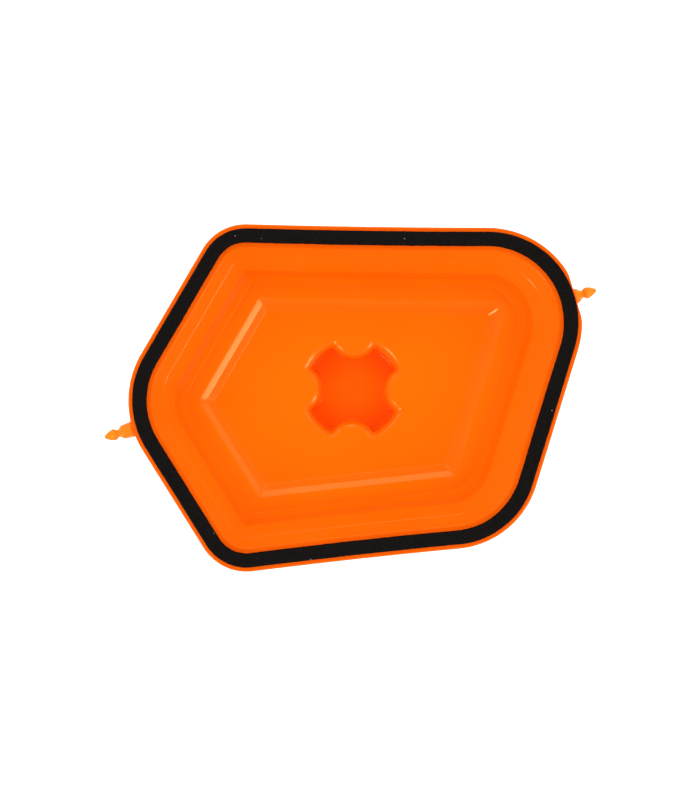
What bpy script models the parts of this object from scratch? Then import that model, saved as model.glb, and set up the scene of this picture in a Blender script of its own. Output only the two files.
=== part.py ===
"""A five-sided dished cover with a foam seal, a hollow grip and two barbed retaining pins.

+Z points to the seal side and the cover stands on the flat end of its grip. The origin is the
middle of that end, and +X runs along the long straight side. All lengths are in metres.
"""
import math

import bmesh
import bpy
from mathutils import Matrix, Vector

MM = 0.001

# Rim outline: each side's outward direction in degrees, its distance from the grip's axis, and
# the radius of the corner that leads to the next side.
SIDES = [
    (90.0, 97.6 * MM, 30.3 * MM),
    (150.5, 119.6 * MM, 55.4 * MM),
    (212.8, 125.4 * MM, 30.8 * MM),
    (277.1, 101.1 * MM, 53.6 * MM),
    (343.7, 121.1 * MM, 56.7 * MM),
]
RIGHT_SIDE = 4
SMALLEST_CORNER = 2.0 * MM
PANEL_INSET = 38.0 * MM
PANEL_CORNER_SHARE = 0.35
LONG_SIDE = 120.0 * MM
LONG_SIDE_BOW = 0.5 * MM
CORNER_STEPS = 8
SIDE_STEPS = 3

# Heights of the moulding's seal-side faces, counted up from the end of the grip.
WALL = 2.5 * MM
POCKET_DEPTH = 20.8 * MM
PANEL_STEP = 5.2 * MM
DISH_DEPTH = 24.0 * MM
SKIRT_HEIGHT = 12.0 * MM
POCKET_FLOOR_Z = WALL
PANEL_Z = POCKET_FLOOR_Z + POCKET_DEPTH
FLOOR_Z = PANEL_Z + PANEL_STEP
FLANGE_Z = FLOOR_Z + DISH_DEPTH
SKIRT_BOTTOM_Z = FLANGE_Z - SKIRT_HEIGHT

# Distances in from the rim outline.
SKIRT_DRAFT = 0.4 * MM
LIP_WIDTH = 3.4 * MM
SEAL_WIDTH = 8.1 * MM
FLANGE_WIDTH = 14.2 * MM
WALL_BREAK = 27.0 * MM
BREAK_DROP = 11.5 * MM
WALL_WAIST = 29.9 * MM
WAIST_DROP = 19.8 * MM
WALL_FOOT = 33.7 * MM
RIGHT_WIDENING = 0.125
STEP_TOP = 42.3 * MM
STEP_BREAK = 46.1 * MM
STEP_FOOT = 50.3 * MM
STEP_TILT = 28.0
EDGE_ROUND = 0.8 * MM
SHARP_ANGLE = 25.0

# Foam seal and its adhesive film.
GAP = 0.3 * MM
FILM = 0.4 * MM
FILM_MARGIN = 0.5 * MM
SEAL_THICKNESS = 4.5 * MM
SEAL_BOTTOM_Z = FLANGE_Z + GAP + FILM + GAP

# Four-lobed grip and the pocket inside it.
LOBE_RADIUS = 30.6 * MM
NOTCH_RADIUS = 13.6 * MM
NOTCH_CENTRE = 34.3 * MM
NOTCH_EDGE = 2.0 * MM
POCKET_DRAFT = 2.4 * MM
GRIP_EDGE = 1.2 * MM
MOUTH_EDGE = 2.0 * MM
NOTCHES = 4

# Retaining pins: both on one line, square to the rim where they leave it.
PIN_LINE_ANGLE = 17.55
PIN_LINE_OFFSET = 15.2 * MM
PIN_Z = FLANGE_Z - 6.2 * MM
PIN_TIP_LEFT = 149.7 * MM
PIN_TIP_RIGHT = 155.6 * MM
PIN_SEAT_LEFT = 132.0 * MM
PIN_SEAT_RIGHT = 142.1 * MM
PIN_TIP_RADIUS = 1.0 * MM
PIN_BARB_RADIUS = 3.55 * MM
PIN_NECK_RADIUS = 2.3 * MM
PIN_COLLAR_RADIUS = 4.8 * MM
PIN_SHANK_RADIUS = 2.7 * MM
PIN_SHANK_LENGTH = 10.0 * MM
PIN_STEPS = 20
BOSS_RADIUS = 5.5 * MM
BOSS_LENGTH = 12.6 * MM


def direction(degrees):
    """Unit vector in the plane of the rim."""
    angle = math.radians(degrees)
    return Vector((math.cos(angle), math.sin(angle)))


def line_crossing(normal_a, distance_a, normal_b, distance_b):
    """The point that lies the two given distances out along the two normals."""
    scale = normal_a.x * normal_b.y - normal_a.y * normal_b.x
    return Vector((
        (distance_a * normal_b.y - distance_b * normal_a.y) / scale,
        (distance_b * normal_a.x - distance_a * normal_b.x) / scale,
    ))


def pin_direction(side):
    """Outward direction of the pin line at the left (-1) or right (+1) end."""
    return direction(PIN_LINE_ANGLE) * side


def cut_to_pin_seats(point):
    """The rim is flat where each pin seats: hold the point inside both flats."""
    for side, seat in ((-1, PIN_SEAT_LEFT), (1, PIN_SEAT_RIGHT)):
        outward = pin_direction(side)
        excess = point.dot(outward) - seat
        if excess > 0.0:
            point = point - outward * excess
    return point


def side_line(index, inset):
    """Direction and distance of a side moved in by the inset. The right wall is a little wider."""
    angle, distance, _ = SIDES[index]
    if index == RIGHT_SIDE:
        distance -= RIGHT_WIDENING * max(inset - FLANGE_WIDTH, 0.0)
    return angle, distance


def corner_arc(index, inset):
    """Points of one rounded corner, moved in by the inset. The panel's corners are tighter."""
    angle_a, distance_a = side_line(index, inset)
    angle_b, distance_b = side_line((index + 1) % len(SIDES), inset)
    radius = SIDES[index][2] - inset
    if inset > PANEL_INSET:
        radius *= PANEL_CORNER_SHARE
    radius = max(radius, SMALLEST_CORNER)
    centre = line_crossing(
        direction(angle_a), distance_a - inset - radius,
        direction(angle_b), distance_b - inset - radius,
    )
    turn = (angle_b - angle_a) % 360.0
    angles = [angle_a + turn * step / CORNER_STEPS for step in range(CORNER_STEPS + 1)]
    return [centre + direction(angle) * radius for angle in angles]


def outline(inset):
    """Closed outline of the rim moved in by the inset, counter-clockwise. Long sides bow inwards."""
    corners = [corner_arc(index, inset) for index in range(len(SIDES))]
    points = []
    for index, arc in enumerate(corners):
        points += arc
        start = arc[-1]
        end = corners[(index + 1) % len(corners)][0]
        inward = -direction(SIDES[(index + 1) % len(SIDES)][0])
        bow = LONG_SIDE_BOW if (end - start).length > LONG_SIDE else 0.0
        for step in range(1, SIDE_STEPS):
            along = step / SIDE_STEPS
            points.append(start.lerp(end, along) + inward * bow * 4.0 * along * (1.0 - along))
    return [cut_to_pin_seats(point) for point in points]


def lobed_outline(offset):
    """Outline of the grip's lobes and notches, moved out by the offset, counter-clockwise."""
    lobe = LOBE_RADIUS + offset
    notch = NOTCH_RADIUS - offset
    edge_path = lobe - NOTCH_EDGE
    reach = notch + NOTCH_EDGE
    cosine = (edge_path ** 2 + NOTCH_CENTRE ** 2 - reach ** 2) / (2.0 * edge_path * NOTCH_CENTRE)
    half_angle = math.degrees(math.acos(cosine))
    points = []
    for index in range(NOTCHES):
        middle = index * 360.0 / NOTCHES
        notch_centre = direction(middle) * NOTCH_CENTRE
        before = direction(middle - half_angle) * edge_path
        after = direction(middle + half_angle) * edge_path
        points += round_edge(before, middle - half_angle, notch_centre, 1)
        points += notch_arc(notch_centre, notch, before, after)
        points += round_edge(after, middle + half_angle, notch_centre, -1)
        next_start = middle + 360.0 / NOTCHES - half_angle
        points += lobe_arc(lobe, middle + half_angle, next_start)
    return points


def round_edge(centre, lobe_angle, notch_centre, turn):
    """Rounded edge between a lobe and a notch: towards the notch if turn is 1, else away from it."""
    inner = math.degrees(math.atan2(notch_centre.y - centre.y, notch_centre.x - centre.x))
    sweep = (inner - lobe_angle + 180.0) % 360.0 - 180.0
    angles = [lobe_angle + sweep * step / 3 for step in range(4)]
    if turn < 0:
        angles.reverse()
    return [centre + direction(angle) * NOTCH_EDGE for angle in angles]


def notch_arc(centre, radius, before, after):
    """Inner points of a notch, which curves towards the grip's axis."""
    start = math.degrees(math.atan2(before.y - centre.y, before.x - centre.x))
    end = math.degrees(math.atan2(after.y - centre.y, after.x - centre.x))
    sweep = (end - start) % 360.0 - 360.0
    return [centre + direction(start + sweep * step / 9) * radius for step in range(1, 9)]


def lobe_arc(radius, start, end):
    """Inner points of a lobe's round outside."""
    return [direction(start + (end - start) * step / 6) * radius for step in range(1, 6)]


def wall_profile():
    """Seal-side line of the moulding as (inset, height), from the skirt's hem to the panel."""
    step_drop = (STEP_BREAK - STEP_TOP) * math.tan(math.radians(STEP_TILT))
    return [
        (0.0, SKIRT_BOTTOM_Z),
        (SKIRT_DRAFT, FLANGE_Z),
        (FLANGE_WIDTH, FLANGE_Z),
        (WALL_BREAK, FLANGE_Z - BREAK_DROP),
        (WALL_WAIST, FLANGE_Z - WAIST_DROP),
        (WALL_FOOT, FLOOR_Z),
        (STEP_TOP, FLOOR_Z),
        (STEP_BREAK, FLOOR_Z - step_drop),
        (STEP_FOOT, PANEL_Z),
    ]


def band_faces(mesh, lower, upper):
    """Quads between two closed rings of equal counts."""
    count = len(lower)
    for index in range(count):
        after = (index + 1) % count
        mesh.faces.new((lower[index], lower[after], upper[after], upper[index]))


def loft(name, rings, end_faces=True, closed=False):
    """A mesh through rings of equal counts, given as (points, height) pairs."""
    mesh = bmesh.new()
    loops = [[mesh.verts.new((point.x, point.y, z)) for point in points] for points, z in rings]
    for lower, upper in zip(loops, loops[1:]):
        band_faces(mesh, lower, upper)
    if closed:
        band_faces(mesh, loops[-1], loops[0])
    elif end_faces:
        mesh.faces.new(list(reversed(loops[0])))
        mesh.faces.new(loops[-1])
    return new_object(name, mesh)


def new_object(name, mesh):
    """An object of this name made from the bmesh, which is freed."""
    data = bpy.data.meshes.new(name)
    mesh.to_mesh(data)
    mesh.free()
    return bpy.data.objects.new(name, data)


def material(name, colour, roughness):
    """A Principled material with an even colour."""
    made = bpy.data.materials.new(name)
    made.use_nodes = True
    shader = made.node_tree.nodes["Principled BSDF"]
    shader.inputs["Base Color"].default_value = (*colour, 1.0)
    shader.inputs["Roughness"].default_value = roughness
    shader.inputs["Metallic"].default_value = 0.0
    return made


def finish(item, collection, made):
    """Link a part, give it its material and shade its round faces smooth."""
    item.data.materials.append(made)
    item.data.shade_smooth()
    item.data.set_sharp_from_angle(angle=math.radians(30.0))
    collection.objects.link(item)
    return item


def boolean(item, cutter, operation):
    """Join or cut the item with another solid."""
    modifier = item.modifiers.new(cutter.name, "BOOLEAN")
    modifier.operation = operation
    modifier.solver = "EXACT"
    modifier.object = cutter


def as_cutter(item, collection):
    """Keep a tool solid out of the render and out of the parts."""
    item.hide_render = True
    item.display_type = "WIRE"
    collection.objects.link(item)
    return item


def cylinder(name, radius, length):
    """A closed cylinder that starts at the origin and runs along +Z."""
    mesh = bmesh.new()
    bmesh.ops.create_cone(
        mesh, cap_ends=True, segments=PIN_STEPS, radius1=radius, radius2=radius, depth=length,
        matrix=Matrix.Translation((0.0, 0.0, length / 2.0)),
    )
    return new_object(name, mesh)


def pin_frame(side, distance):
    """Place on the pin line, the given distance out from the middle, with +Z pointing out."""
    outward = pin_direction(side).to_3d()
    across = direction(PIN_LINE_ANGLE + 90.0).to_3d()
    place = across * PIN_LINE_OFFSET + outward * distance
    place.z = PIN_Z
    return Matrix.Translation(place) @ outward.to_track_quat("Z", "Y").to_matrix().to_4x4()


def grip_solid():
    """Outside of the grip: drafted lobes that run up into the panel."""
    top_z = PANEL_Z - WALL / 2.0
    rise = POCKET_DRAFT / POCKET_DEPTH
    rings = [
        (lobed_outline(WALL - POCKET_DRAFT - GRIP_EDGE), 0.0),
        (lobed_outline(WALL - POCKET_DRAFT), GRIP_EDGE),
        (lobed_outline(WALL - POCKET_DRAFT + rise * (top_z - GRIP_EDGE)), top_z),
    ]
    return loft("grip_tool", rings)


def pocket_solid():
    """The hollow of the grip, open through the panel, with a chamfered mouth."""
    past = 1.0 * MM
    rise = POCKET_DRAFT / POCKET_DEPTH
    rings = [
        (lobed_outline(-POCKET_DRAFT), POCKET_FLOOR_Z),
        (lobed_outline(-MOUTH_EDGE * rise), PANEL_Z - MOUTH_EDGE),
        (lobed_outline(MOUTH_EDGE + past), PANEL_Z + past),
    ]
    return loft("pocket_tool", rings)


def cover_shell(parts, tools, made):
    """The moulded cover: an open surface given its wall, with the grip, pocket and pin bosses."""
    rings = [(outline(inset), z) for inset, z in wall_profile()]
    shell = loft("cover_shell", rings, end_faces=False)
    close_panel(shell, len(rings[0][0]))
    wall = shell.modifiers.new("wall", "SOLIDIFY")
    wall.thickness = WALL
    wall.offset = -1.0
    wall.use_even_offset = True
    rounding = shell.modifiers.new("rounding", "BEVEL")
    rounding.width = EDGE_ROUND
    rounding.segments = 2
    rounding.limit_method = "ANGLE"
    rounding.angle_limit = math.radians(SHARP_ANGLE)
    boolean(shell, as_cutter(grip_solid(), tools), "UNION")
    for side, seat in ((-1, PIN_SEAT_LEFT), (1, PIN_SEAT_RIGHT)):
        boss = cylinder(f"boss_tool_{side}", BOSS_RADIUS, BOSS_LENGTH)
        boss.matrix_world = pin_frame(side, seat - BOSS_LENGTH - WALL / 2.0)
        boolean(shell, as_cutter(boss, tools), "UNION")
    boolean(shell, as_cutter(pocket_solid(), tools), "DIFFERENCE")
    for side, seat in ((-1, PIN_SEAT_LEFT), (1, PIN_SEAT_RIGHT)):
        depth = PIN_SHANK_LENGTH + GAP
        hole = cylinder(f"hole_tool_{side}", PIN_SHANK_RADIUS + GAP, depth + 5.0 * MM)
        hole.matrix_world = pin_frame(side, seat - depth)
        boolean(shell, as_cutter(hole, tools), "DIFFERENCE")
    return finish(shell, parts, made)


def close_panel(shell, count):
    """Fill the innermost ring of the open surface with the flat panel."""
    mesh = bmesh.new()
    mesh.from_mesh(shell.data)
    mesh.verts.ensure_lookup_table()
    mesh.faces.new(mesh.verts[-count:])
    mesh.to_mesh(shell.data)
    mesh.free()


def seal_ring(name, inset, width, bottom, height, parts, made):
    """A flat ring that follows the rim."""
    rings = [
        (outline(inset + width), bottom),
        (outline(inset), bottom),
        (outline(inset), bottom + height),
        (outline(inset + width), bottom + height),
    ]
    return finish(loft(name, rings, closed=True), parts, made)


def pin_profile(length):
    """Half section of a pin as (radius, distance in from the tip)."""
    return [
        (0.0, 0.0),
        (PIN_TIP_RADIUS, 0.0),
        (0.80 * PIN_BARB_RADIUS, 3.2 * MM),
        (PIN_BARB_RADIUS, 5.6 * MM),
        (0.92 * PIN_BARB_RADIUS, 6.8 * MM),
        (PIN_NECK_RADIUS, 8.0 * MM),
        (PIN_NECK_RADIUS, 8.8 * MM),
        (0.88 * PIN_COLLAR_RADIUS, 11.0 * MM),
        (PIN_COLLAR_RADIUS, length - GAP),
        (PIN_SHANK_RADIUS, length - GAP),
        (PIN_SHANK_RADIUS, length + PIN_SHANK_LENGTH),
        (0.0, length + PIN_SHANK_LENGTH),
    ]


def retaining_pin(name, side, tip, seat, parts, made):
    """A turned barbed pin with its shank in the boss behind the rim."""
    mesh = bmesh.new()
    points = [mesh.verts.new((radius, 0.0, -depth)) for radius, depth in pin_profile(tip - seat)]
    for first, second in zip(points, points[1:]):
        mesh.edges.new((first, second))
    pin = new_object(name, mesh)
    turn = pin.modifiers.new("turn", "SCREW")
    turn.angle = math.tau
    turn.steps = PIN_STEPS
    turn.render_steps = PIN_STEPS
    turn.use_merge_vertices = True
    turn.merge_threshold = 0.00001
    pin.matrix_world = pin_frame(side, tip)
    return finish(pin, parts, made)


def build():
    """Clear the scene and make every part."""
    for item in list(bpy.data.objects):
        bpy.data.objects.remove(item, do_unlink=True)
    parts = bpy.data.collections.new("gasketed_cover")
    tools = bpy.data.collections.new("tools")
    bpy.context.scene.collection.children.link(parts)
    bpy.context.scene.collection.children.link(tools)
    orange = material("orange_plastic", (0.97, 0.13, 0.005), 0.28)
    pin_orange = material("pin_plastic", (0.97, 0.19, 0.01), 0.35)
    foam = material("black_foam", (0.010, 0.009, 0.009), 0.95)
    film = material("adhesive_film", (0.55, 0.52, 0.45), 0.6)
    cover_shell(parts, tools, orange)
    seal_ring("foam_seal", LIP_WIDTH, SEAL_WIDTH, SEAL_BOTTOM_Z, SEAL_THICKNESS, parts, foam)
    film_width = SEAL_WIDTH - 2.0 * FILM_MARGIN
    seal_ring("seal_adhesive", LIP_WIDTH + FILM_MARGIN, film_width, FLANGE_Z + GAP, FILM, parts, film)
    retaining_pin("retaining_pin_left", -1, PIN_TIP_LEFT, PIN_SEAT_LEFT, parts, pin_orange)
    retaining_pin("retaining_pin_right", 1, PIN_TIP_RIGHT, PIN_SEAT_RIGHT, parts, pin_orange)


build()
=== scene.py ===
"""Looks of a gasketed five-sided cover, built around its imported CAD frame.

Lengths are in metres in the frame's own axes: +Z is the seal side, and the cover stands on its grip.
"""
import math

import bmesh
import bpy
from mathutils import Matrix, Vector, noise


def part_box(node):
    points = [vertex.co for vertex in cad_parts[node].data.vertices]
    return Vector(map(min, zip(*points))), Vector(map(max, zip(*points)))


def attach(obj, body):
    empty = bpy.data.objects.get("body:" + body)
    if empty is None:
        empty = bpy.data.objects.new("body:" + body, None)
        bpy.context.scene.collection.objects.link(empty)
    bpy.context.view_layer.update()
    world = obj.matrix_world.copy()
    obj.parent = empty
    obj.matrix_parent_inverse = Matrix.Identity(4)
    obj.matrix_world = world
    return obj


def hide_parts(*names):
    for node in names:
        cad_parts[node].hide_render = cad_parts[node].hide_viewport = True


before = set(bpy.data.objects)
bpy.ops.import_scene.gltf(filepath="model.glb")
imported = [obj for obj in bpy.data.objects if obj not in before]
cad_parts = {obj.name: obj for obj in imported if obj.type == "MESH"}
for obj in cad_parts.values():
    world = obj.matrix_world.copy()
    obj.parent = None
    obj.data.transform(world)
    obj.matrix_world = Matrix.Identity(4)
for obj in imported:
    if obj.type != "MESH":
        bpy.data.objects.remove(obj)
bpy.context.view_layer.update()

MM = 0.001

# Rim outline: outward direction of each side in degrees, its distance from the grip's axis, and the
# radius of the corner that leads to the next side.
SIDES = [
    (90.0, 97.6 * MM, 30.3 * MM),
    (150.5, 119.6 * MM, 55.4 * MM),
    (212.8, 125.4 * MM, 30.8 * MM),
    (277.1, 101.1 * MM, 53.6 * MM),
    (343.7, 121.1 * MM, 56.7 * MM),
]
RIGHT_SIDE = 4
SMALLEST_CORNER = 2.0 * MM
# Further in than this inset, on the recessed panel, corners keep only a share of their radius.
PANEL_INSET = 38.0 * MM
PANEL_CORNER_SHARE = 0.35
LONG_SIDE = 120.0 * MM
LONG_SIDE_BOW = 0.5 * MM
CORNER_STEPS = 36
SIDE_STEPS = 24
SHARP_ANGLE = 32.0

# Heights come from the frame; depths within the moulding repeat the design's.
WALL = 2.5 * MM
POCKET_DEPTH = 20.8 * MM
PANEL_STEP = 5.2 * MM
FLANGE_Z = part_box("cover_shell")[1].z
SKIRT_BOTTOM_Z = FLANGE_Z - 12.0 * MM
POCKET_FLOOR_Z = WALL
PANEL_Z = POCKET_FLOOR_Z + POCKET_DEPTH
FLOOR_Z = PANEL_Z + PANEL_STEP
SKIRT_DRAFT = 0.4 * MM
FLANGE_WIDTH = 14.2 * MM
WALL_BREAK = 27.0 * MM
BREAK_DROP = 11.5 * MM
WALL_WAIST = 29.9 * MM
WAIST_DROP = 19.8 * MM
WALL_FOOT = 33.7 * MM
RIGHT_WIDENING = 0.125
STEP_TOP = 42.3 * MM
STEP_BREAK = 46.1 * MM
STEP_FOOT = 50.3 * MM
STEP_TILT = 28.0
LIP_WIDTH = 3.4 * MM
SEAL_WIDTH = 8.1 * MM

# Fillets of the moulding, at the seal side's corners.
LIP_ROUND = 1.1 * MM
FLANGE_ROUND = 1.0 * MM
BREAK_ROUND = 2.5 * MM
WAIST_ROUND = 6.0 * MM
FOOT_ROUND = 0.6 * MM
STEP_TOP_ROUND = 2.0 * MM
STEP_BREAK_ROUND = 1.5 * MM
STEP_FOOT_ROUND = 1.0 * MM

# A fine line left round the wall by the mould's insert.
WITNESS_INSET = 20.2 * MM
WITNESS_WIDTH = 0.25 * MM
WITNESS_ROUND = 0.1 * MM

# Grip and pocket.
LOBE_RADIUS = 30.6 * MM
NOTCH_RADIUS = 13.6 * MM
NOTCH_CENTRE = 34.3 * MM
NOTCH_EDGE = 2.0 * MM
POCKET_DRAFT = 2.4 * MM
GRIP_EDGE = 1.2 * MM
POCKET_FOOT_ROUND = 0.8 * MM
GRIP_ROOT_ROUND = 1.5 * MM
NOTCHES = 4

# Rolled mouth of the pocket: (offset, depth, fillet radius) from the panel down to its wall.
POCKET_MOUTH = [
    (3.7 * MM, 0.0, 0.0), (2.1 * MM, 0.0, 2.0 * MM),
    (-0.2 * MM, 1.2 * MM, 2.5 * MM), (-1.7 * MM, 4.8 * MM, 4.0 * MM),
]

# How far each swept profile runs on into the flat face beyond its last fillet.
PANEL_RUN = 4.0 * MM
POCKET_FLOOR_RUN = 3.0 * MM
GRIP_ROOT_RUN = 3.0 * MM
GRIP_END_RUN = 4.0 * MM

# Marks left by the mould: the gate in the pocket, and ejector pins on the panel's diagonals.
# Both are (radius, height) rings from the outside in.
GATE_RINGS = [
    (1.9 * MM, 0.0), (1.6 * MM, -0.12 * MM), (1.0 * MM, -0.12 * MM),
    (0.8 * MM, 0.22 * MM), (0.45 * MM, 0.3 * MM),
]
EJECTOR_RINGS = [(1.7 * MM, 0.0), (1.62 * MM, -0.06 * MM)]
EJECTOR_REACH = 38.0 * MM

# Foam: how far apart its ring points lie, and how uneven its die-cut sides and its top are. Each
# unevenness has an amount and the size of its features; the two sides' noise is taken well apart.
FOAM_SPACING = 0.9 * MM
FOAM_EDGE = 0.5 * MM
FOAM_DRIFT = 0.14 * MM
FOAM_DRIFT_SIZE = 22.0 * MM
FOAM_RAG = 0.12 * MM
FOAM_RAG_SIZE = 1.6 * MM
FOAM_SWELL = 0.08 * MM
FOAM_SWELL_SIZE = 7.0 * MM
FOAM_NOISE_APART = 5.0 * MM

# Pins.
PIN_LINE_ANGLE = 17.55
PIN_LINE_OFFSET = 15.2 * MM
PIN_Z = FLANGE_Z - 6.2 * MM
PIN_SEATS = {-1: 132.0 * MM, 1: 142.1 * MM}
PIN_TIPS = {-1: 149.7 * MM, 1: 155.6 * MM}
PIN_NAMES = {-1: "retaining_pin_left", 1: "retaining_pin_right"}
PIN_SHANK_RADIUS = 2.7 * MM
PIN_SHANK_LENGTH = 10.0 * MM
BOSS_RADIUS = 5.5 * MM
BOSS_LENGTH = 12.6 * MM
BORE_OVERRUN = 5.0 * MM
GAP = 0.3 * MM
PIN_STEPS = 48

# The plastic's weak gloss, tinted so that soft reflections stay orange.
PLASTIC_SPECULAR = 0.22
WARM_GLOSS = (1.0, 0.93, 0.36, 1.0)


# --- outlines -----------------------------------------------------------------------------------

def direction(degrees):
    """Unit vector in the plane of the rim."""
    angle = math.radians(degrees)
    return Vector((math.cos(angle), math.sin(angle)))


def line_crossing(normal_a, distance_a, normal_b, distance_b):
    """The point that lies the two given distances out along the two normals."""
    scale = normal_a.x * normal_b.y - normal_a.y * normal_b.x
    return Vector((
        (distance_a * normal_b.y - distance_b * normal_a.y) / scale,
        (distance_b * normal_a.x - distance_a * normal_b.x) / scale,
    ))


def pin_direction(side):
    """Outward direction of the pin line at the left (-1) or right (+1) end."""
    return direction(PIN_LINE_ANGLE) * side


def cut_to_pin_seats(point):
    """The rim is flat where each pin seats: hold the point inside both flats."""
    for side, seat in PIN_SEATS.items():
        outward = pin_direction(side)
        excess = point.dot(outward) - seat
        if excess > 0.0:
            point = point - outward * excess
    return point


def side_line(index, inset):
    """Direction and distance of a side moved in by the inset. The right wall is a little wider."""
    angle, distance, _ = SIDES[index]
    if index == RIGHT_SIDE:
        distance -= RIGHT_WIDENING * max(inset - FLANGE_WIDTH, 0.0)
    return angle, distance


def corner_arc(index, inset):
    """Points of one rounded corner, moved in by the inset. The panel's corners are tighter."""
    angle_a, distance_a = side_line(index, inset)
    angle_b, distance_b = side_line((index + 1) % len(SIDES), inset)
    radius = SIDES[index][2] - inset
    if inset > PANEL_INSET:
        radius *= PANEL_CORNER_SHARE
    radius = max(radius, SMALLEST_CORNER)
    centre = line_crossing(
        direction(angle_a), distance_a - inset - radius,
        direction(angle_b), distance_b - inset - radius,
    )
    turn = (angle_b - angle_a) % 360.0
    angles = [angle_a + turn * step / CORNER_STEPS for step in range(CORNER_STEPS + 1)]
    return [centre + direction(angle) * radius for angle in angles]


def outline(inset):
    """Closed outline of the rim moved in by the inset, counter-clockwise. Long sides bow inwards."""
    corners = [corner_arc(index, inset) for index in range(len(SIDES))]
    points = []
    for index, arc in enumerate(corners):
        points += arc
        start = arc[-1]
        end = corners[(index + 1) % len(corners)][0]
        inward = -direction(SIDES[(index + 1) % len(SIDES)][0])
        bow = LONG_SIDE_BOW if (end - start).length > LONG_SIDE else 0.0
        for step in range(1, SIDE_STEPS):
            along = step / SIDE_STEPS
            points.append(start.lerp(end, along) + inward * bow * 4.0 * along * (1.0 - along))
    return [cut_to_pin_seats(point) for point in points]


def arc_points(centre, radius, start, end, steps):
    """Points along an arc, ends included, from one angle in degrees to another."""
    angles = [start + (end - start) * step / steps for step in range(steps + 1)]
    return [centre + direction(angle) * radius for angle in angles]


def heading(vector):
    """A plane vector's angle in degrees."""
    return math.degrees(math.atan2(vector.y, vector.x))


def lobed_outline(offset):
    """Outline of the grip's lobes and notches, moved out by the offset, counter-clockwise."""
    lobe = LOBE_RADIUS + offset
    notch = NOTCH_RADIUS - offset
    edge_path = lobe - NOTCH_EDGE
    reach = notch + NOTCH_EDGE
    cosine = (edge_path ** 2 + NOTCH_CENTRE ** 2 - reach ** 2) / (2.0 * edge_path * NOTCH_CENTRE)
    half_angle = math.degrees(math.acos(cosine))
    points = []
    for index in range(NOTCHES):
        middle = index * 360.0 / NOTCHES
        notch_centre = direction(middle) * NOTCH_CENTRE
        before = direction(middle - half_angle) * edge_path
        after = direction(middle + half_angle) * edge_path
        turn = (heading(notch_centre - before) - (middle - half_angle)) % 360.0
        points += arc_points(before, NOTCH_EDGE, middle - half_angle, middle - half_angle + turn, 8)
        start = heading(before - notch_centre)
        sweep = (heading(after - notch_centre) - start) % 360.0 - 360.0
        points += arc_points(notch_centre, notch, start, start + sweep, 24)[1:-1]
        points += arc_points(after, NOTCH_EDGE, middle + half_angle - turn, middle + half_angle, 8)
        next_start = middle + 360.0 / NOTCHES - half_angle
        points += arc_points(Vector((0.0, 0.0)), lobe, middle + half_angle, next_start, 16)[1:-1]
    return points


# --- profiles -----------------------------------------------------------------------------------

def rounded(corners):
    """A polyline through (x, z, radius) corners with each corner rounded by its radius."""
    points = [Vector(corners[0][:2])]
    for before, here, after in zip(corners, corners[1:], corners[2:]):
        middle = Vector(here[:2])
        back = (Vector(before[:2]) - middle).normalized()
        ahead = (Vector(after[:2]) - middle).normalized()
        half = back.angle(ahead) / 2.0
        radius = here[2]
        if radius <= 0.0 or half > math.radians(89.5):
            points.append(middle)
            continue
        centre = middle + (back + ahead).normalized() * (radius / math.sin(half))
        start = middle + back * (radius / math.tan(half)) - centre
        end = middle + ahead * (radius / math.tan(half)) - centre
        turn = start.angle_signed(end)
        steps = max(3, math.ceil(math.degrees(abs(turn)) / 6.0))
        for step in range(steps + 1):
            angle = -turn * step / steps
            points.append(centre + Vector((
                start.x * math.cos(angle) - start.y * math.sin(angle),
                start.x * math.sin(angle) + start.y * math.cos(angle),
            )))
    points.append(Vector(corners[-1][:2]))
    return points


def shell_corners():
    """Seal-side corners of the moulding as (inset, height, fillet radius), hem to panel."""
    step_drop = (STEP_BREAK - STEP_TOP) * math.tan(math.radians(STEP_TILT))
    return [
        (0.0, SKIRT_BOTTOM_Z, 0.0),
        (SKIRT_DRAFT, FLANGE_Z, LIP_ROUND),
        (FLANGE_WIDTH, FLANGE_Z, FLANGE_ROUND),
        (WALL_BREAK, FLANGE_Z - BREAK_DROP, BREAK_ROUND),
        (WALL_WAIST, FLANGE_Z - WAIST_DROP, WAIST_ROUND),
        (WALL_FOOT, FLOOR_Z, FOOT_ROUND),
        (STEP_TOP, FLOOR_Z, STEP_TOP_ROUND),
        (STEP_BREAK, FLOOR_Z - step_drop, STEP_BREAK_ROUND),
        (STEP_FOOT, PANEL_Z, STEP_FOOT_ROUND),
        (STEP_FOOT + PANEL_RUN, PANEL_Z, 0.0),
    ]


def seal_side_corners():
    """The corners with the witness line, a narrow strip at the step's tilt, cut into the wall."""
    corners = shell_corners()
    wall = next(index for index, corner in enumerate(corners) if corner[0] == WALL_BREAK)
    slope = BREAK_DROP / (WALL_BREAK - FLANGE_WIDTH)
    start_z = FLANGE_Z - (WITNESS_INSET - FLANGE_WIDTH) * slope
    end_z = start_z - WITNESS_WIDTH * math.tan(math.radians(STEP_TILT))
    strip = [
        (WITNESS_INSET, start_z, WITNESS_ROUND),
        (WITNESS_INSET + WITNESS_WIDTH, end_z, WITNESS_ROUND),
    ]
    return corners[:wall] + strip + corners[wall:]


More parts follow.
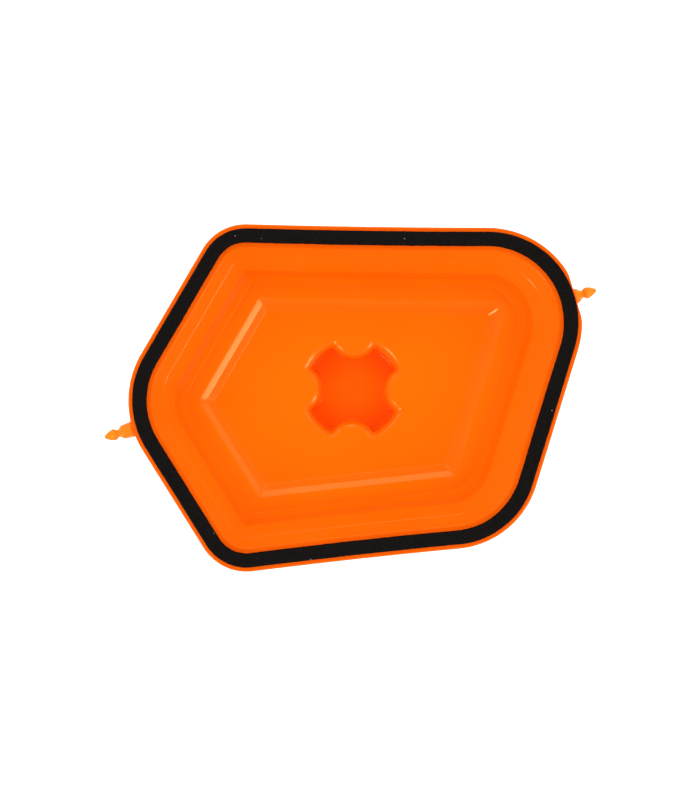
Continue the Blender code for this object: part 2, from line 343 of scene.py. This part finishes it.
def underside_corners():
    """The same corners moved through the wall to the grip's side of the moulding."""
    seal_side = shell_corners()
    lines = []
    for first, second in zip(seal_side, seal_side[1:]):
        along = (Vector(second[:2]) - Vector(first[:2])).normalized()
        inward = Vector((along.y, -along.x))
        lines.append((Vector(first[:2]) + inward * WALL, along))
    corners = [(lines[0][0].x, SKIRT_BOTTOM_Z, 0.0)]
    for (point_a, along_a), (point_b, along_b), source in zip(lines, lines[1:], seal_side[1:]):
        normal_a = Vector((along_a.y, -along_a.x))
        normal_b = Vector((along_b.y, -along_b.x))
        crossing = line_crossing(normal_a, point_a.dot(normal_a), normal_b, point_b.dot(normal_b))
        convex = along_a.x * along_b.y - along_a.y * along_b.x < 0.0
        radius = max(source[2] - WALL, 0.5 * MM) if convex else source[2] + WALL
        corners.append((crossing.x, crossing.y, radius))
    corners.append((seal_side[-1][0], PANEL_Z - WALL, 0.0))
    return corners


# --- meshes -------------------------------------------------------------------------------------

def new_piece(name, mesh, angle=SHARP_ANGLE):
    """An object in the scene from the bmesh, with outward faces and smooth shading."""
    bmesh.ops.recalc_face_normals(mesh, faces=mesh.faces)
    data = bpy.data.meshes.new(name)
    mesh.to_mesh(data)
    mesh.free()
    piece = bpy.data.objects.new(name, data)
    bpy.context.scene.collection.objects.link(piece)
    data.shade_smooth()
    data.set_sharp_from_angle(angle=math.radians(angle))
    return piece


def ring_verts(mesh, points, z):
    """A closed ring of new vertices at one height."""
    return [mesh.verts.new((point.x, point.y, z)) for point in points]


def bridge(mesh, lower, upper):
    """Quads between two closed rings of equal counts."""
    for index in range(len(lower)):
        after = (index + 1) % len(lower)
        mesh.faces.new((lower[index], lower[after], upper[after], upper[index]))


def ring_edges(mesh, ring):
    """The edges round a closed ring."""
    pairs = zip(ring, ring[1:] + ring[:1])
    return [mesh.edges.get(pair) or mesh.edges.new(pair) for pair in pairs]


def flat_between(mesh, *rings):
    """Fill the flat space between an outer ring and the rings inside it, all at one height."""
    edges = [edge for ring in rings for edge in ring_edges(mesh, ring)]
    bmesh.ops.triangle_fill(mesh, use_beauty=True, use_dissolve=False, edges=edges)


def flat_cap(mesh, ring, z):
    """Close a star-shaped ring with a fan round its middle."""
    middle = sum((vert.co for vert in ring), Vector()) / len(ring)
    middle = mesh.verts.new((middle.x, middle.y, z))
    for index in range(len(ring)):
        mesh.faces.new((ring[index], ring[(index + 1) % len(ring)], middle))


def round_mark(mesh, centre, rings, z):
    """A small round mark sunk into a flat face; returns its outer ring."""
    loops = [
        ring_verts(mesh, arc_points(centre, radius, 0.0, 360.0, 28)[:-1], z + height)
        for radius, height in rings
    ]
    for outer, inner in zip(loops, loops[1:]):
        bridge(mesh, outer, inner)
    flat_cap(mesh, loops[-1], z + rings[-1][1])
    return loops[0]


def rim_rings(mesh, profile):
    """Rings that follow the rim outline along an (inset, height) profile, joined by quads."""
    rings = [ring_verts(mesh, outline(point.x), point.y) for point in profile]
    for lower, upper in zip(rings, rings[1:]):
        bridge(mesh, lower, upper)
    return rings


def lobed_rings(mesh, profile):
    """Rings that follow the grip outline along an (offset, height) profile, joined by quads."""
    rings = [ring_verts(mesh, lobed_outline(point.x), point.y) for point in profile]
    for lower, upper in zip(rings, rings[1:]):
        bridge(mesh, lower, upper)
    return rings


def pocket_profile():
    """(offset, height) of the pocket's wall from its rolled mouth down to its floor."""
    mouth = [(offset, PANEL_Z - depth, radius) for offset, depth, radius in POCKET_MOUTH]
    return rounded([
        *mouth,
        (-POCKET_DRAFT, POCKET_FLOOR_Z, POCKET_FOOT_ROUND),
        (-POCKET_DRAFT - POCKET_FLOOR_RUN, POCKET_FLOOR_Z, 0.0),
    ])


def grip_profile():
    """(offset, height) of the grip's outside from the panel down to its end face."""
    under_z = PANEL_Z - WALL
    foot = WALL - POCKET_DRAFT
    root = foot + POCKET_DRAFT * (under_z - GRIP_EDGE) / POCKET_DEPTH
    return rounded([
        (root + GRIP_ROOT_RUN, under_z, 0.0),
        (root, under_z, GRIP_ROOT_ROUND),
        (foot, 0.0, GRIP_EDGE),
        (foot - GRIP_END_RUN, 0.0, 0.0),
    ])


def shell_mesh():
    """Both sides of the moulding as one closed mesh, before the pin bosses."""
    mesh = bmesh.new()
    top = rim_rings(mesh, rounded(seal_side_corners()))
    under = rim_rings(mesh, rounded(underside_corners()))
    bridge(mesh, under[0], top[0])
    pocket = lobed_rings(mesh, pocket_profile())
    grip = lobed_rings(mesh, grip_profile())
    diagonals = [direction(45.0 + 90.0 * quarter) * EJECTOR_REACH for quarter in range(4)]
    marks = [round_mark(mesh, place, EJECTOR_RINGS, PANEL_Z) for place in diagonals]
    gate = round_mark(mesh, Vector((0.0, 0.0)), GATE_RINGS, POCKET_FLOOR_Z)
    flat_between(mesh, top[-1], pocket[0], *marks)
    flat_between(mesh, under[-1], grip[0])
    flat_between(mesh, pocket[-1], gate)
    flat_cap(mesh, grip[-1], 0.0)
    return mesh


def pin_frame(side, distance):
    """Place on the pin line, the given distance out from the middle, with +Z pointing out."""
    outward = pin_direction(side).to_3d()
    place = direction(PIN_LINE_ANGLE + 90.0).to_3d() * PIN_LINE_OFFSET + outward * distance
    place.z = PIN_Z
    return Matrix.Translation(place) @ outward.to_track_quat("Z", "Y").to_matrix().to_4x4()


def tool_cylinder(radius, length, place):
    """A closed cylinder from the place along its +Z, for joining or cutting."""
    mesh = bmesh.new()
    bmesh.ops.create_cone(
        mesh, cap_ends=True, segments=PIN_STEPS, radius1=radius, radius2=radius, depth=length,
        matrix=place @ Matrix.Translation((0.0, 0.0, length / 2.0)),
    )
    return new_piece("tool", mesh)


def combine(piece, tool, operation):
    """Apply a union or cut to the piece and remove the tool."""
    modifier = piece.modifiers.new("combine", "BOOLEAN")
    modifier.operation = operation
    modifier.solver = "EXACT"
    modifier.object = tool
    bpy.context.view_layer.update()
    graph = bpy.context.evaluated_depsgraph_get()
    result = bpy.data.meshes.new_from_object(piece.evaluated_get(graph))
    piece.modifiers.clear()
    piece.data = result
    bpy.data.objects.remove(tool)


def make_shell(finish):
    """The orange moulding with its pin bosses."""
    shell = new_piece("cover_moulding", shell_mesh())
    for side, seat in PIN_SEATS.items():
        place = pin_frame(side, seat - BOSS_LENGTH - WALL / 2.0)
        combine(shell, tool_cylinder(BOSS_RADIUS, BOSS_LENGTH, place), "UNION")
    for side, seat in PIN_SEATS.items():
        depth = PIN_SHANK_LENGTH + GAP
        hole = tool_cylinder(PIN_SHANK_RADIUS + GAP, depth + BORE_OVERRUN, pin_frame(side, seat - depth))
        combine(shell, hole, "DIFFERENCE")
    shell.data.shade_smooth()
    shell.data.set_sharp_from_angle(angle=math.radians(SHARP_ANGLE))
    shell.data.materials.clear()
    shell.data.materials.append(finish)
    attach(shell, "root")
    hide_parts("cover_shell")
    return shell


def wobble(point, size, amount):
    """A small smooth shift that depends on place only."""
    return amount * noise.noise(point / size)


def even_ring(points, spacing):
    """A closed outline's points at even distances, each with its outward normal."""
    lengths = [(after - point).length for point, after in zip(points, points[1:] + points[:1])]
    count = round(sum(lengths) / spacing)
    step = sum(lengths) / count
    ring = []
    index, passed = 0, 0.0
    for number in range(count):
        while number * step > passed + lengths[index]:
            passed += lengths[index]
            index += 1
        after = points[(index + 1) % len(points)]
        ring.append(points[index].lerp(after, (number * step - passed) / lengths[index]))
    normals = []
    for number, point in enumerate(ring):
        along = (ring[(number + 1) % count] - ring[number - 1]).normalized()
        normals.append(Vector((along.y, -along.x)))
    return list(zip(ring, normals))


def foam_section():
    """(distance out from the ring's middle, height) round the foam's section."""
    low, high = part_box("foam_seal")
    half = SEAL_WIDTH / 2.0
    top = [(half * (1.0 - step / 5.0), high.z, 0.0) for step in range(1, 10)]
    return rounded([
        (0.0, low.z, 0.0),
        (half, low.z, FOAM_EDGE / 2.0),
        (half, (low.z + high.z) / 2.0, 0.0),
        (half, high.z, FOAM_EDGE),
        *top,
        (-half, high.z, FOAM_EDGE),
        (-half, (low.z + high.z) / 2.0, 0.0),
        (-half, low.z, FOAM_EDGE / 2.0),
        (0.0, low.z, 0.0),
    ])[:-1]


def make_foam(finish):
    """The die-cut foam ring: soft edges, slightly uneven cut sides and a faintly uneven top."""
    middle = even_ring(outline(LIP_WIDTH + SEAL_WIDTH / 2.0), FOAM_SPACING)
    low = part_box("foam_seal")[0].z
    mesh = bmesh.new()
    rings = []
    for across, z in foam_section():
        side = 1.0 if across > 0.0 else -1.0
        edge = abs(across) / (SEAL_WIDTH / 2.0)
        ring = []
        for point, normal in middle:
            seed = Vector((*(point + normal * side * FOAM_NOISE_APART), z))
            drift = wobble(seed, FOAM_DRIFT_SIZE, FOAM_DRIFT) + wobble(seed, FOAM_RAG_SIZE, FOAM_RAG)
            place = point + normal * (across + side * edge ** 6 * (drift + FOAM_RAG / 2.0))
            flat_place = Vector((place.x, place.y, 0.0))
            swell = wobble(flat_place, FOAM_SWELL_SIZE, FOAM_SWELL) if z > low else 0.0
            ring.append(mesh.verts.new((place.x, place.y, z + min(swell - FOAM_SWELL / 2.0, 0.0))))
        rings.append(ring)
    for lower, upper in zip(rings, rings[1:] + rings[:1]):
        bridge(mesh, lower, upper)
    foam = new_piece("foam_ring", mesh, angle=60.0)
    foam.data.materials.append(finish)
    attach(foam, "root")
    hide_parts("foam_seal")
    return foam


def pin_corners(length):
    """Half section of a pin as (radius, distance in from the tip, fillet radius)."""
    end = length + PIN_SHANK_LENGTH
    return [
        (0.0, 0.0, 0.0),
        (1.0 * MM, 0.0, 0.5 * MM),
        (2.84 * MM, 3.2 * MM, 3.0 * MM),
        (3.55 * MM, 5.6 * MM, 0.8 * MM),
        (3.2 * MM, 6.8 * MM, 0.6 * MM),
        (2.3 * MM, 8.0 * MM, 0.5 * MM),
        (2.3 * MM, 8.8 * MM, 0.5 * MM),
        (4.2 * MM, 11.0 * MM, 1.5 * MM),
        (4.8 * MM, length - GAP, 0.2 * MM),
        (PIN_SHANK_RADIUS, length - GAP, 0.0),
        (PIN_SHANK_RADIUS, end, 0.3 * MM),
        (0.0, end, 0.0),
    ]


def make_pin(side, finish):
    """A turned barbed pin."""
    place = pin_frame(side, PIN_TIPS[side])
    profile = rounded(pin_corners(PIN_TIPS[side] - PIN_SEATS[side]))
    mesh = bmesh.new()
    rings = []
    for radius, depth in profile[1:-1]:
        turns = [direction(360.0 * step / PIN_STEPS) * radius for step in range(PIN_STEPS)]
        rings.append([mesh.verts.new(place @ Vector((turn.x, turn.y, -depth))) for turn in turns])
    for lower, upper in zip(rings, rings[1:]):
        bridge(mesh, lower, upper)
    mesh.faces.new(rings[0])
    mesh.faces.new(rings[-1])
    pin = new_piece("barbed_pin_left" if side < 0 else "barbed_pin_right", mesh)
    pin.data.materials.append(finish)
    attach(pin, "root")
    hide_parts(PIN_NAMES[side])
    return pin


# --- materials ----------------------------------------------------------------------------------

def node_material(name, roughness, specular):
    """A Principled material; returns it with its node tree and shader."""
    made = bpy.data.materials.new(name)
    made.use_nodes = True
    shader = made.node_tree.nodes["Principled BSDF"]
    shader.inputs["Roughness"].default_value = roughness
    shader.inputs["Specular IOR Level"].default_value = specular
    return made, made.node_tree, shader


def object_space(tree, stretch=(1.0, 1.0, 1.0), turn=0.0):
    """Coordinates in metres that stay with the piece, stretched and turned about Z."""
    mapping = tree.nodes.new("ShaderNodeMapping")
    mapping.inputs["Scale"].default_value = stretch
    mapping.inputs["Rotation"].default_value = (0.0, 0.0, math.radians(turn))
    tree.links.new(tree.nodes.new("ShaderNodeTexCoord").outputs["Object"], mapping.inputs["Vector"])
    return mapping.outputs["Vector"]


def noise_value(tree, space, size, detail=2.0):
    """Smooth noise with features of about the given size in metres."""
    texture = tree.nodes.new("ShaderNodeTexNoise")
    texture.inputs["Scale"].default_value = 1.0 / size
    texture.inputs["Detail"].default_value = detail
    tree.links.new(space, texture.inputs["Vector"])
    return texture.outputs["Fac"]


def cells(tree, space, size):
    """Voronoi cells of the given size: distance from each cell's middle, and its random colour."""
    texture = tree.nodes.new("ShaderNodeTexVoronoi")
    texture.inputs["Scale"].default_value = 1.0 / size
    tree.links.new(space, texture.inputs["Vector"])
    return texture.outputs["Distance"], texture.outputs["Color"]


def remap(tree, value, start, end, low, high):
    """The value's stretch from start to end mapped to low..high, and held beyond."""
    node = tree.nodes.new("ShaderNodeMapRange")
    for name, number in (("From Min", start), ("From Max", end), ("To Min", low), ("To Max", high)):
        node.inputs[name].default_value = number
    tree.links.new(value, node.inputs["Value"])
    return node.outputs["Result"]


def combine_values(tree, operation, first, second):
    """A math node on two outputs."""
    node = tree.nodes.new("ShaderNodeMath")
    node.operation = operation
    tree.links.new(first, node.inputs[0])
    tree.links.new(second, node.inputs[1])
    return node.outputs["Value"]


def blend_colours(tree, amount, first, second):
    """A mix of two colours; the first may be the output of another mix."""
    node = tree.nodes.new("ShaderNodeMix")
    node.data_type = "RGBA"
    tree.links.new(amount, node.inputs["Factor"])
    if isinstance(first, tuple):
        node.inputs["A"].default_value = (*first, 1.0)
    else:
        tree.links.new(first, node.inputs["A"])
    node.inputs["B"].default_value = (*second, 1.0)
    return node.outputs["Result"]


def raise_surface(tree, shader, layers):
    """Bump from (height output, distance in metres) layers."""
    normal = None
    for height, distance in layers:
        bump = tree.nodes.new("ShaderNodeBump")
        bump.inputs["Distance"].default_value = distance
        tree.links.new(height, bump.inputs["Height"])
        if normal:
            tree.links.new(normal, bump.inputs["Normal"])
        normal = bump.outputs["Normal"]
    tree.links.new(normal, shader.inputs["Normal"])


def plastic(name, colour, deeper, gloss):
    """Moulded plastic: faint shade and gloss changes, sink waviness, fine grain and light scuffs."""
    made, tree, shader = node_material(name, gloss, PLASTIC_SPECULAR)
    shader.inputs["Specular Tint"].default_value = WARM_GLOSS
    space = object_space(tree)
    shade = remap(tree, noise_value(tree, space, 60.0 * MM), 0.3, 0.7, 0.0, 1.0)
    tree.links.new(blend_colours(tree, shade, colour, deeper), shader.inputs["Base Color"])
    long_scuffs = noise_value(tree, object_space(tree, (1.0, 0.04, 1.0), 25.0), 0.5 * MM)
    cross_scuffs = noise_value(tree, object_space(tree, (0.05, 1.0, 1.0), -12.0), 0.6 * MM)
    scuffs = combine_values(
        tree, "ADD",
        remap(tree, long_scuffs, 0.70, 0.76, 0.0, 0.10),
        remap(tree, cross_scuffs, 0.71, 0.77, 0.0, 0.08),
    )
    haze = remap(tree, noise_value(tree, space, 18.0 * MM, 4.0), 0.3, 0.7, gloss - 0.03, gloss + 0.04)
    tree.links.new(combine_values(tree, "ADD", haze, scuffs), shader.inputs["Roughness"])
    raise_surface(tree, shader, [
        (noise_value(tree, space, 24.0 * MM, 1.0), 0.03 * MM),
        (noise_value(tree, space, 0.45 * MM, 2.0), 0.0012 * MM),
    ])
    return made


def foam_material():
    """Black closed-cell foam: small open cells in its cut faces, soft mottling and a little dust."""
    made, tree, shader = node_material("black_foam", 1.0, 0.08)
    space = object_space(tree)
    mottle = remap(tree, noise_value(tree, space, 0.8 * MM, 4.0), 0.35, 0.65, 0.0, 1.0)
    shade = blend_colours(tree, mottle, (0.0031, 0.0024, 0.0022), (0.0062, 0.0048, 0.0043))
    distance, random_colour = cells(tree, space, 5.0 * MM)
    near = remap(tree, distance, 0.045, 0.065, 1.0, 0.0)
    chosen = remap(tree, random_colour, 0.70, 0.71, 0.0, 1.0)
    dust = combine_values(tree, "MULTIPLY", near, chosen)
    tree.links.new(blend_colours(tree, dust, shade, (0.30, 0.27, 0.24)), shader.inputs["Base Color"])
    cell_distance, _ = cells(tree, space, 0.55 * MM)
    raise_surface(tree, shader, [
        (noise_value(tree, space, 3.0 * MM, 3.0), 0.10 * MM),
        (cell_distance, 0.12 * MM),
    ])
    return made


def film_material():
    """Pale adhesive film with a faint cloudiness and small bubbles under it."""
    made, tree, shader = node_material("adhesive_film", 0.4, 0.4)
    space = object_space(tree)
    cloud = noise_value(tree, space, 4.0 * MM, 3.0)
    shade = blend_colours(tree, cloud, (0.62, 0.58, 0.48), (0.50, 0.46, 0.37))
    tree.links.new(shade, shader.inputs["Base Color"])
    bubbles, _ = cells(tree, space, 1.5 * MM)
    raise_surface(tree, shader, [(bubbles, 0.02 * MM)])
    return made


# --- stage --------------------------------------------------------------------------------------

PICTURE_WIDTH = 414.8 * MM
CAMERA_DISTANCE = 1.15
CAMERA_TURN = 0.84
CAMERA_PLACE = (-1.7 * MM, -6.2 * MM)

# Room light: its strength, the ceiling's, and the directions (as their Z) between which it fades.
HORIZON_STRENGTH = 0.6
ROOM_STRENGTH = 2.6
HORIZON_EDGE = (0.25, 0.45)
CEILING_EDGE = (0.72, 0.9)
CEILING_SHARE = 0.2

# Reflector panels: name, azimuth and elevation in degrees, width in metres, and power in watts.
PANEL_DISTANCE = 1.5
PANELS = [
    ("panel_right", -30.0, 36.0, 0.42, 7.2),
    ("panel_right_high", -30.0, 64.0, 0.35, 0.7),
    ("panel_back", 95.0, 36.0, 0.45, 2.4),
    ("panel_front_right", 33.0, 36.0, 0.42, 1.0),
    ("panel_back_left", 140.0, 36.0, 0.5, 1.4),
    ("panel_left", 224.0, 47.0, 0.32, 9.0),
]


def make_camera():
    """Straight above the cover, with its long side nearly level in the picture."""
    data = bpy.data.cameras.new("camera")
    camera = bpy.data.objects.new("camera", data)
    bpy.context.scene.collection.objects.link(camera)
    data.sensor_fit = "HORIZONTAL"
    data.sensor_width = 36.0
    data.lens = data.sensor_width * CAMERA_DISTANCE / PICTURE_WIDTH
    camera.location = (*CAMERA_PLACE, FLANGE_Z + CAMERA_DISTANCE)
    camera.rotation_euler = (0.0, 0.0, math.radians(CAMERA_TURN))
    bpy.context.scene.camera = camera


def make_floor():
    """A bright white floor under the grip."""
    mesh = bmesh.new()
    bmesh.ops.create_grid(mesh, x_segments=1, y_segments=1, size=3.0)
    floor = new_piece("floor", mesh)
    made, tree, shader = node_material("floor_white", 0.9, 0.1)
    shader.inputs["Base Color"].default_value = (0.92, 0.92, 0.92, 1.0)
    shader.inputs["Emission Color"].default_value = (1.0, 1.0, 1.0, 1.0)
    shader.inputs["Emission Strength"].default_value = 0.45
    floor.data.materials.append(made)


def soft_light(name, azimuth, elevation, distance, size, power):
    """A square softbox aimed at the cover."""
    data = bpy.data.lights.new(name, "AREA")
    data.shape = "SQUARE"
    data.size = size
    data.energy = power
    light = bpy.data.objects.new(name, data)
    level = math.cos(math.radians(elevation)) * distance
    place = direction(azimuth) * level
    light.location = (place.x, place.y, math.sin(math.radians(elevation)) * distance)
    light.rotation_euler = (-light.location).to_track_quat("-Z", "Y").to_euler()
    bpy.context.scene.collection.objects.link(light)
    return light


def make_room():
    """White light from all round at a middling height, weaker low down and over the camera."""
    world = bpy.data.worlds.new("room")
    world.use_nodes = True
    tree = world.node_tree
    parts = tree.nodes.new("ShaderNodeSeparateXYZ")
    tree.links.new(tree.nodes.new("ShaderNodeTexCoord").outputs["Generated"], parts.inputs["Vector"])
    rise = remap(tree, parts.outputs["Z"], *HORIZON_EDGE, HORIZON_STRENGTH, ROOM_STRENGTH)
    fall = remap(tree, parts.outputs["Z"], *CEILING_EDGE, 1.0, CEILING_SHARE)
    background = tree.nodes["Background"]
    background.inputs["Color"].default_value = (1.0, 1.0, 1.0, 1.0)
    tree.links.new(combine_values(tree, "MULTIPLY", rise, fall), background.inputs["Strength"])
    world.cycles_visibility.glossy = False
    world.cycles.sampling_method = "NONE"
    bpy.context.scene.world = world


def make_lights():
    """A light room, and reflector panels that only show as highlights in the gloss."""
    for name, azimuth, elevation, size, power in PANELS:
        panel = soft_light(name, azimuth, elevation, PANEL_DISTANCE, size, power)
        panel.visible_diffuse = False
    make_room()
    bpy.context.scene.view_settings.view_transform = "Standard"


make_camera()
make_shell(plastic("orange_plastic", (0.97, 0.116, 0.0007), (0.95, 0.109, 0.0006), 0.15))
make_foam(foam_material())
pin_orange = plastic("pin_plastic", (0.95, 0.20, 0.004), (0.92, 0.18, 0.004), 0.28)
for side in PIN_NAMES:
    make_pin(side, pin_orange)
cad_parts["seal_adhesive"].data.materials.clear()
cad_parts["seal_adhesive"].data.materials.append(film_material())
make_floor()
make_lights()
